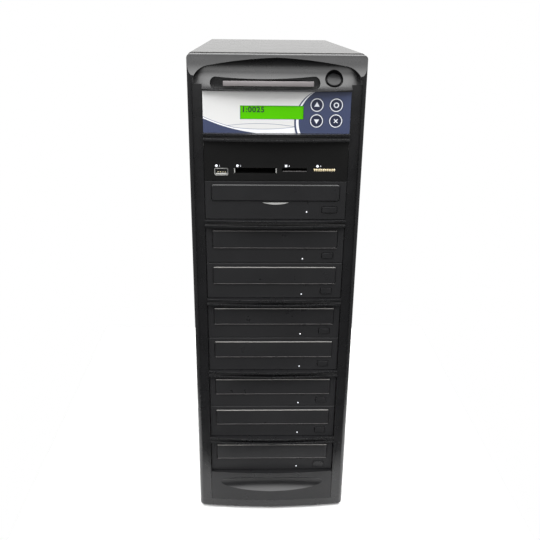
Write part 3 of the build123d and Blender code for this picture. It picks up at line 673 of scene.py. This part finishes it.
def settle(name, material, body="tower"):
    """Names the active piece, tidies its mesh, gives it its finish and hangs it on a body."""
    piece = bpy.context.active_object
    bpy.ops.object.mode_set(mode="EDIT")
    bpy.ops.mesh.select_all(action="SELECT")
    bpy.ops.mesh.remove_doubles(threshold=0.001 * MM)
    bpy.ops.mesh.normals_make_consistent(inside=False)
    bpy.ops.object.mode_set(mode="OBJECT")
    bpy.ops.object.shade_smooth_by_angle(angle=math.radians(40))
    piece.name = name
    piece.data.name = name
    piece.data.materials.append(material)
    hang(piece, body)
    return piece


def copy_piece(piece, name, move, body="tower", material=None):
    """A copy with its own mesh, moved by a vector, that may have its own finish."""
    twin = piece.copy()
    twin.data = piece.data.copy()
    twin.name = name
    twin.data.name = name
    bpy.context.scene.collection.objects.link(twin)
    twin.data.transform(Matrix.Translation(move))
    if material:
        twin.data.materials[0] = material
    hang(twin, body)
    return twin


def add_lens(name, x, z, stem, head):
    """A light pipe's tip: a stem in its hole and a low domed head on the face."""
    start_piece(
        bpy.ops.mesh.primitive_cylinder_add,
        vertices=24, radius=stem * MM, depth=0.3 * MM,
        location=(x, bay_face + 0.14 * MM, z), rotation=FRONT,
    )
    pick_faces(faces_front)
    bpy.ops.mesh.extrude_region_move(TRANSFORM_OT_translate={"value": (0, -0.02 * MM, 0)})
    grow = head / stem
    bpy.ops.transform.resize(value=(grow, 1, grow))
    bpy.ops.mesh.extrude_region_move(TRANSFORM_OT_translate={"value": (0, -0.1 * MM, 0)})
    step_in(head * 0.3, 0.12)
    step_in(head * 0.35, 0.06)
    bpy.ops.object.mode_set(mode="OBJECT")
    # The tip's finish is a painted highlight and painted glow.
    return settle(name, shared["lens"])


def add_ring(name, middle, key, radius, width):
    """A flat printed ring with rounded borders, on a key."""
    start_piece(
        bpy.ops.mesh.primitive_torus_add,
        major_radius=radius * MM, minor_radius=width / 2 * MM,
        major_segments=48, minor_segments=8, location=middle, rotation=FRONT,
    )
    bpy.ops.object.mode_set(mode="EDIT")
    bpy.ops.mesh.select_all(action="SELECT")
    bpy.ops.transform.resize(value=(1, PRINT / width, 1), center_override=middle)
    bpy.ops.object.mode_set(mode="OBJECT")
    return settle(name, shared["ink"], key)


def add_bar(name, low, high, edge, material, body="tower"):
    """A straight bar between two corners with rounded edges."""
    start_block(low, high)
    round_edges(edge)
    return settle(name, material, body)


def add_bar_row(name, low, high, material, edge, count, pitch):
    """Equal rounded bars side by side, in one piece."""
    piece = start_block(low, high)
    round_edges(edge)
    row = piece.modifiers.new("row", "ARRAY")
    row.count = count
    row.use_relative_offset = False
    row.use_constant_offset = True
    row.constant_offset_displace = (pitch * MM, 0, 0)
    bpy.ops.object.modifier_apply(modifier=row.name)
    return settle(name, material)


def add_tube(name, low, high, material, corner, wall):
    """A folded rectangular shell, open front and back, between two corners."""
    low, high = Vector(low), Vector(high)
    middle = (low + high) / 2
    piece = start_piece(
        bpy.ops.mesh.primitive_plane_add,
        scale=(high.x - low.x, high.z - low.z, 1),
        size=1, location=(middle.x, low.y, middle.z), rotation=FRONT,
    )
    bpy.ops.object.mode_set(mode="EDIT")
    bpy.ops.mesh.select_mode(type="EDGE")
    bpy.ops.mesh.select_all(action="SELECT")
    bpy.ops.mesh.bevel(offset=corner * MM, segments=4, affect="VERTICES")
    bpy.ops.mesh.select_all(action="SELECT")
    bpy.ops.mesh.delete(type="ONLY_FACE")
    bpy.ops.mesh.select_all(action="SELECT")
    bpy.ops.mesh.extrude_region_move(
        TRANSFORM_OT_translate={"value": (0, high.y - low.y, 0)}
    )
    bpy.ops.object.mode_set(mode="OBJECT")
    sheet = piece.modifiers.new("sheet", "SOLIDIFY")
    sheet.thickness = wall * MM
    sheet.offset = -1
    bpy.ops.object.modifier_apply(modifier=sheet.name)
    return settle(name, material)


def add_lights():
    """Busy lights on the drives and status lights over the card slots."""
    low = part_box("drive_1_bezel")[0]
    first = Vector((33.0 * MM, 0, low.z + 8.2 * MM))
    busy = add_lens("busy_light_1", first.x, first.z, stem=0.6, head=0.75)
    for number in range(2, 9):
        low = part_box(f"drive_{number}_bezel")[0]
        place = Vector((30.0 * MM, 0, low.z + 4.7 * MM))
        copy_piece(busy, f"busy_light_{number}", place - first)

    start = PORT_LIGHTS[0]
    height = cards_low.z + 15.65 * MM
    status = add_lens("port_light_1", start * MM, height, stem=0.7, head=1.3)
    for number, across in enumerate(PORT_LIGHTS[1:], start=2):
        copy_piece(status, f"port_light_{number}", ((across - start) * MM, 0, 0))


def key_middle(key):
    """The middle of a key's face."""
    low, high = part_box(key)
    return Vector(((low.x + high.x) / 2, low.y, (low.z + high.z) / 2))


def add_arrow(name, middle, turn, key):
    """A flat printed triangle that points up, or down after half a turn."""
    start_piece(
        bpy.ops.mesh.primitive_cylinder_add,
        vertices=3, radius=3.1 * MM, depth=PRINT * MM,
        location=middle, rotation=(math.pi / 2, turn, 0),
    )
    pick_faces(faces_front)
    step_in(0.15, 0.02)
    bpy.ops.object.mode_set(mode="OBJECT")
    settle(name, shared["ink"], key)


def add_key_prints():
    """White rings and plain signs on the four keys."""
    first = key_middle("key_up")
    ring = add_ring("key_up_ring", first, "key_up", radius=6.1, width=0.9)
    for key in ("key_down", "key_enter", "key_escape"):
        copy_piece(ring, f"{key}_ring", key_middle(key) - first, key)
    add_arrow("key_up_arrow", first, 0, "key_up")
    add_arrow("key_down_arrow", key_middle("key_down"), math.pi, "key_down")
    middle = key_middle("key_enter")
    add_ring("key_enter_sign", middle, "key_enter", radius=2.2, width=1.1)

    # The two arms of the cross lie one over the other.
    middle = key_middle("key_escape")
    reach, half = 2.6 * MM, 0.5 * MM
    for side, turn, front in (("a", 45, 0.05), ("b", -45, 0.07)):
        corner = Vector((reach, front * MM, half))
        add_bar(
            f"key_escape_sign_{side}", middle - corner, middle + corner, 0.02,
            shared["ink"], "key_escape",
        )
        bpy.ops.object.mode_set(mode="EDIT")
        bpy.ops.mesh.select_all(action="SELECT")
        bpy.ops.transform.rotate(
            value=math.radians(turn), orient_axis="Y", center_override=middle
        )
        bpy.ops.object.mode_set(mode="OBJECT")


def add_text(name, words, place, material, size, weight):
    """A line of raised print that faces the viewer, made a mesh."""
    bpy.ops.object.select_all(action="DESELECT")
    bpy.ops.object.text_add(location=place, rotation=FRONT)
    line = bpy.context.active_object
    line.data.body = words
    line.data.size = size * MM
    line.data.space_character = 1.12
    line.data.offset = weight * MM
    line.data.extrude = 0.05 * MM
    bpy.ops.object.convert(target="MESH")
    bpy.ops.object.transform_apply(location=True, rotation=True, scale=True)
    settle(name, material)


def add_prints():
    """Plain counting digits on the display and plain numbers beside the port lights."""
    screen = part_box("display_module")[0].y - 0.02 * MM
    digits_place = (-35.3 * MM, screen, panel_low.z + 20.6 * MM)
    add_text("display_digits", "1:0025", digits_place, dark_segments(), size=7.6, weight=0.25)
    for number, across in enumerate(PORT_LIGHTS, start=1):
        place = ((across + 2.6) * MM, bay_face - 0.01 * MM, cards_low.z + 14.8 * MM)
        add_text(
            f"port_number_{number}", str(number), place, shared["ink"], size=2.4, weight=0.05
        )


def add_port_parts():
    """Shells, contacts and lips that show in the card slots."""
    base = cards_low.z - 0.15 * MM
    tin, gold = tin_plate(), gold_flash()

    def spot(x, y, z):
        """A point by millimetres across, behind the face and up the card panel."""
        return (x * MM, bay_face + y * MM, base + z * MM)

    add_tube(
        "serial_port_shell", spot(-63.5, -0.25, 5.8), spot(-49.5, 12, 13.3), tin,
        corner=1.6, wall=0.45,
    )
    add_bar("serial_port_lip", spot(-62.2, -0.1, 6.5), spot(-50.8, 2.2, 8.1), 0.3, tin)
    add_bar_row(
        "serial_port_contacts", spot(-60.4, 0.3, 9.0), spot(-59.2, 9, 9.5), gold,
        edge=0.1, count=4, pitch=2.5,
    )
    clip = add_bar(
        "large_slot_clip_left", spot(-43.4, 0.3, 8.2), spot(-42.3, 6, 13.0), 0.25, tin
    )
    copy_piece(clip, "large_slot_clip_right", (43.1 * MM, 0, 0))
    add_bar_row(
        "large_slot_pins", spot(-40.5, 30, 9.0), spot(-40.1, 34, 9.5), gold,
        edge=0.1, count=25, pitch=1.27,
    )
    # The lip's grey is a painted highlight.
    add_bar("small_slot_lip", spot(6.4, 0.1, 9.9), spot(31.6, 3, 10.3), 0.1, shared["lip"])
    add_bar_row(
        "stick_slot_contacts", spot(39.1, 0.2, 10.4), spot(40.9, 6, 12.9), gold,
        edge=0.25, count=10, pitch=2.26,
    )


def add_slot_ledge():
    """The satin strip on the ledge inside the finger slot: its pale grey is partly its own
    trim colour and partly painted highlight.
    """
    add_bar(
        "finger_slot_ledge",
        (-53.6 * MM, bay_face + 1.8 * MM, head_top - 30.1 * MM),
        (36.5 * MM, bay_face + 3.6 * MM, head_top - 25.1 * MM),
        0.35, satin_strip(),
    )


def add_crescent():
    """The finger crescent under the source drive's tray, in pale grey: a painted highlight of
    the upward-facing scoop.
    """
    half_width, drop, depth = 14.3, 1.7, 2.3  # mm; drop is from the tray's lower edge
    radius = (half_width * half_width + depth * depth) / (2 * depth)
    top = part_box("drive_1_tray")[0].z - drop * MM
    start_piece(
        bpy.ops.mesh.primitive_cylinder_add,
        vertices=360, radius=radius * MM, depth=1.6 * MM,
        location=(0, bay_face + 0.9 * MM, top + (radius - depth) * MM), rotation=FRONT,
    )
    bpy.ops.object.mode_set(mode="EDIT")
    bpy.ops.mesh.select_all(action="SELECT")
    bpy.ops.mesh.bisect(
        plane_co=(0, 0, top), plane_no=(0, 0, 1), use_fill=True, clear_outer=True
    )
    bpy.ops.object.mode_set(mode="OBJECT")
    settle("source_drive_crescent", crescent_grey())


def add_tray_edges():
    """Upper and lower edges of the seven target trays, in pale greys: painted highlights
    where the edges catch the light.
    """
    # Both finishes are painted highlights: the brighter for upper edges of trays 3 to 8, the
    # dimmer for the rest.
    bright, dim = edge_abs(), shared["lip"]
    low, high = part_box("drive_2_tray")
    left, right, face = low.x + 0.6 * MM, high.x - 0.6 * MM, low.y
    upper = add_bar(
        "tray_upper_edge_2",
        (left, face - 0.1 * MM, high.z - 0.8 * MM),
        (right, face + 0.7 * MM, high.z - 0.05 * MM),
        0.2, dim, "tray_2",
    )
    lower = add_bar(
        "tray_lower_edge_2",
        (left, face - 0.1 * MM, low.z + 0.05 * MM),
        (right, face + 0.5 * MM, low.z + 0.45 * MM),
        0.1, dim, "tray_2",
    )
    for number in range(3, 9):
        body = f"tray_{number}"
        down = (0, 0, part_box(f"drive_{number}_tray")[0].z - low.z)
        copy_piece(upper, f"tray_upper_edge_{number}", down, body, bright)
        copy_piece(lower, f"tray_lower_edge_{number}", down, body)


def add_pan_screw(name, x, y, z, radius):
    """A domed screw with a shallow socket on the back, its head facing the rear."""
    start_piece(
        bpy.ops.mesh.primitive_cylinder_add,
        vertices=32, radius=radius * MM, depth=0.8 * MM,
        location=(x, y + 0.4 * MM, z), rotation=FRONT,
    )
    pick_faces(lambda face: face.normal.y > 0.9)
    step_in(radius * 0.2, -0.5)
    step_in(radius * 0.3, -0.35)
    bpy.ops.mesh.inset(thickness=radius * 0.08 * MM)
    bpy.ops.mesh.extrude_region_move(TRANSFORM_OT_translate={"value": (0, -0.6 * MM, 0)})
    bpy.ops.object.mode_set(mode="OBJECT")
    return settle(name, shared["nickel"])


def add_fan_screws():
    """Four screws at the corners of each exhaust fan's wire guard."""
    places = [
        Vector((across, 0, height + up)) * MM
        for height in FAN_HEIGHTS
        for across in (-FAN_HOLE, FAN_HOLE)
        for up in (-FAN_HOLE, FAN_HOLE)
    ]
    first = places[0]
    screw = add_pan_screw("fan_screw_1", first.x, guard_face - 0.2 * MM, first.z, 3.2)
    for number, place in enumerate(places[1:], start=2):
        copy_piece(screw, f"fan_screw_{number}", place - first)


# Finishes that several pieces share.
shared = {
    "nickel": nickel_plate(),
    "ink": white_ink(),
    # Painted highlight and painted glow of the light pipes.
    "lens": clear_lens(),
    # Painted highlight of the thin lips.
    "lip": lip_grey(),
}

set_camera()
set_floor()
set_studio()
dress_cad()
add_lights()
add_key_prints()
add_prints()
add_port_parts()
add_slot_ledge()
add_crescent()
add_tray_edges()
add_fan_screws()
